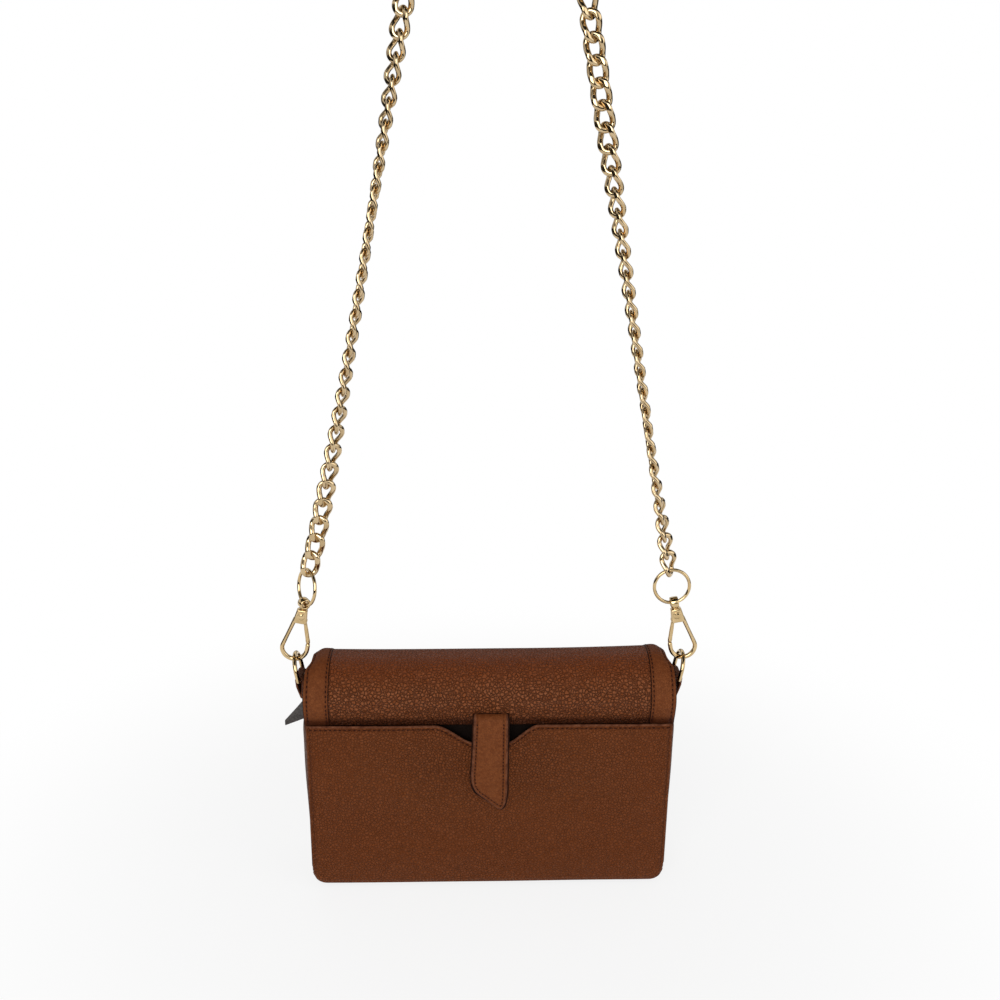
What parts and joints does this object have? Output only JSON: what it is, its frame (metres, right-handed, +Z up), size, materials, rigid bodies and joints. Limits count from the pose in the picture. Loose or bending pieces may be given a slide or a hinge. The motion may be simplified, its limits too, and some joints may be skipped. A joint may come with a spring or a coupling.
{
  "type": "crossbody flap bag",
  "caption": "Small box-shaped flap bag of pebbled tan leather with a front pocket, closing tab and gold curb-chain strap on swivel clasps.",
  "frame": {"origin": "the top of the inside of the strap's bend, where a peg, hook or shoulder bears", "axes": "+X to the right of someone who looks at the flap, +Y to the back of the bag, +Z up along the hanging bag"},
  "size_m": [0.2452, 0.0538, 0.6007],
  "materials": {
    "leather_tan": "pebbled tan-brown leather, semi-matt, with painted edges",
    "leather_dark": "smoother dark brown leather",
    "lining_black": "black woven lining",
    "tape_grey": "grey folded tape",
    "gold": "polished pale gold plating",
    "steel": "plain steel",
    "board": "stiff board"
  },
  "bodies": {
    "strap": {"chain_left": "gold", "chain_over": "gold", "chain_right": "gold"},
    "ring_left": {"oring_left": "gold", "swivel_eye_left": "gold"},
    "hook_left": {"clasp_left": "gold", "gate_pin_left": "gold", "gate_spring_left": "steel", "clasp_rivet_left": "gold"},
    "gate_left": {"clasp_gate_left": "gold"},
    "ring_right": {"oring_right": "gold", "swivel_eye_right": "gold"},
    "hook_right": {"clasp_right": "gold", "gate_pin_right": "gold", "gate_spring_right": "steel", "clasp_rivet_right": "gold"},
    "gate_right": {"clasp_gate_right": "gold"},
    "flap": {"flap_shell": "leather_tan", "flap_lining": "leather_dark", "flap_band_left": "leather_tan", "flap_band_right": "leather_tan"},
    "tab": {"tab_front": "leather_tan", "tab_backing": "leather_dark", "tab_magnet": "steel"},
    "bag": {"dring_left": "gold", "dring_right": "gold", "dring_tab_left": "leather_dark", "dring_tab_right": "leather_dark", "pocket_panel": "leather_tan", "pocket_lining": "lining_black", "front_wall": "lining_black", "back_panel": "leather_tan", "bottom_panel": "leather_tan", "gusset_left": "leather_dark", "gusset_right": "leather_dark", "inner_lining": "lining_black", "bottom_board": "board", "pocket_magnet": "steel", "magnet_patch": "lining_black", "zip_tail": "tape_grey"}
  },
  "joints": [
    {"name": "bag_swing", "type": "hinge", "parent": "strap", "child": "bag", "pos_m": [0, 0, -0.456], "axis": [1, 0, 0], "range_deg": [-35, 35]},
    {"name": "ring_turn_left", "type": "hinge", "parent": "strap", "child": "ring_left", "pos_m": [-0.10645, 0, -0.41672], "axis": [0.1886, 0, 0.982], "range_deg": [-12, 12]},
    {"name": "swivel_left", "type": "hinge", "parent": "ring_left", "child": "hook_left", "pos_m": [-0.10834, 0, -0.42654], "axis": [0.1886, 0, 0.982], "range_deg": [-20, 20]},
    {"name": "gate_open_left", "type": "hinge", "parent": "hook_left", "child": "gate_left", "pos_m": [-0.10726, 0, -0.43153], "axis": [0, 1, 0], "range_deg": [0, 22], "stiffness_Nm_per_rad": 0.05, "springref_deg": -17.19},
    {"name": "ring_turn_right", "type": "hinge", "parent": "strap", "child": "ring_right", "pos_m": [0.10645, 0, -0.41672], "axis": [-0.1886, 0, 0.982], "range_deg": [-12, 12]},
    {"name": "swivel_right", "type": "hinge", "parent": "ring_right", "child": "hook_right", "pos_m": [0.10834, 0, -0.42654], "axis": [-0.1886, 0, 0.982], "range_deg": [-20, 20]},
    {"name": "gate_open_right", "type": "hinge", "parent": "hook_right", "child": "gate_right", "pos_m": [0.10726, 0, -0.43153], "axis": [0, -1, 0], "range_deg": [0, 22], "stiffness_Nm_per_rad": 0.05, "springref_deg": -17.19},
    {"name": "flap_open", "type": "hinge", "parent": "bag", "child": "flap", "pos_m": [0, 0.025, -0.4862], "axis": [-1, 0, 0], "range_deg": [0, 115]},
    {"name": "tab_lift", "type": "hinge", "parent": "flap", "child": "tab", "pos_m": [0, -0.0237, -0.4772], "axis": [-1, 0, 0], "range_deg": [0, 100]}
  ]
}
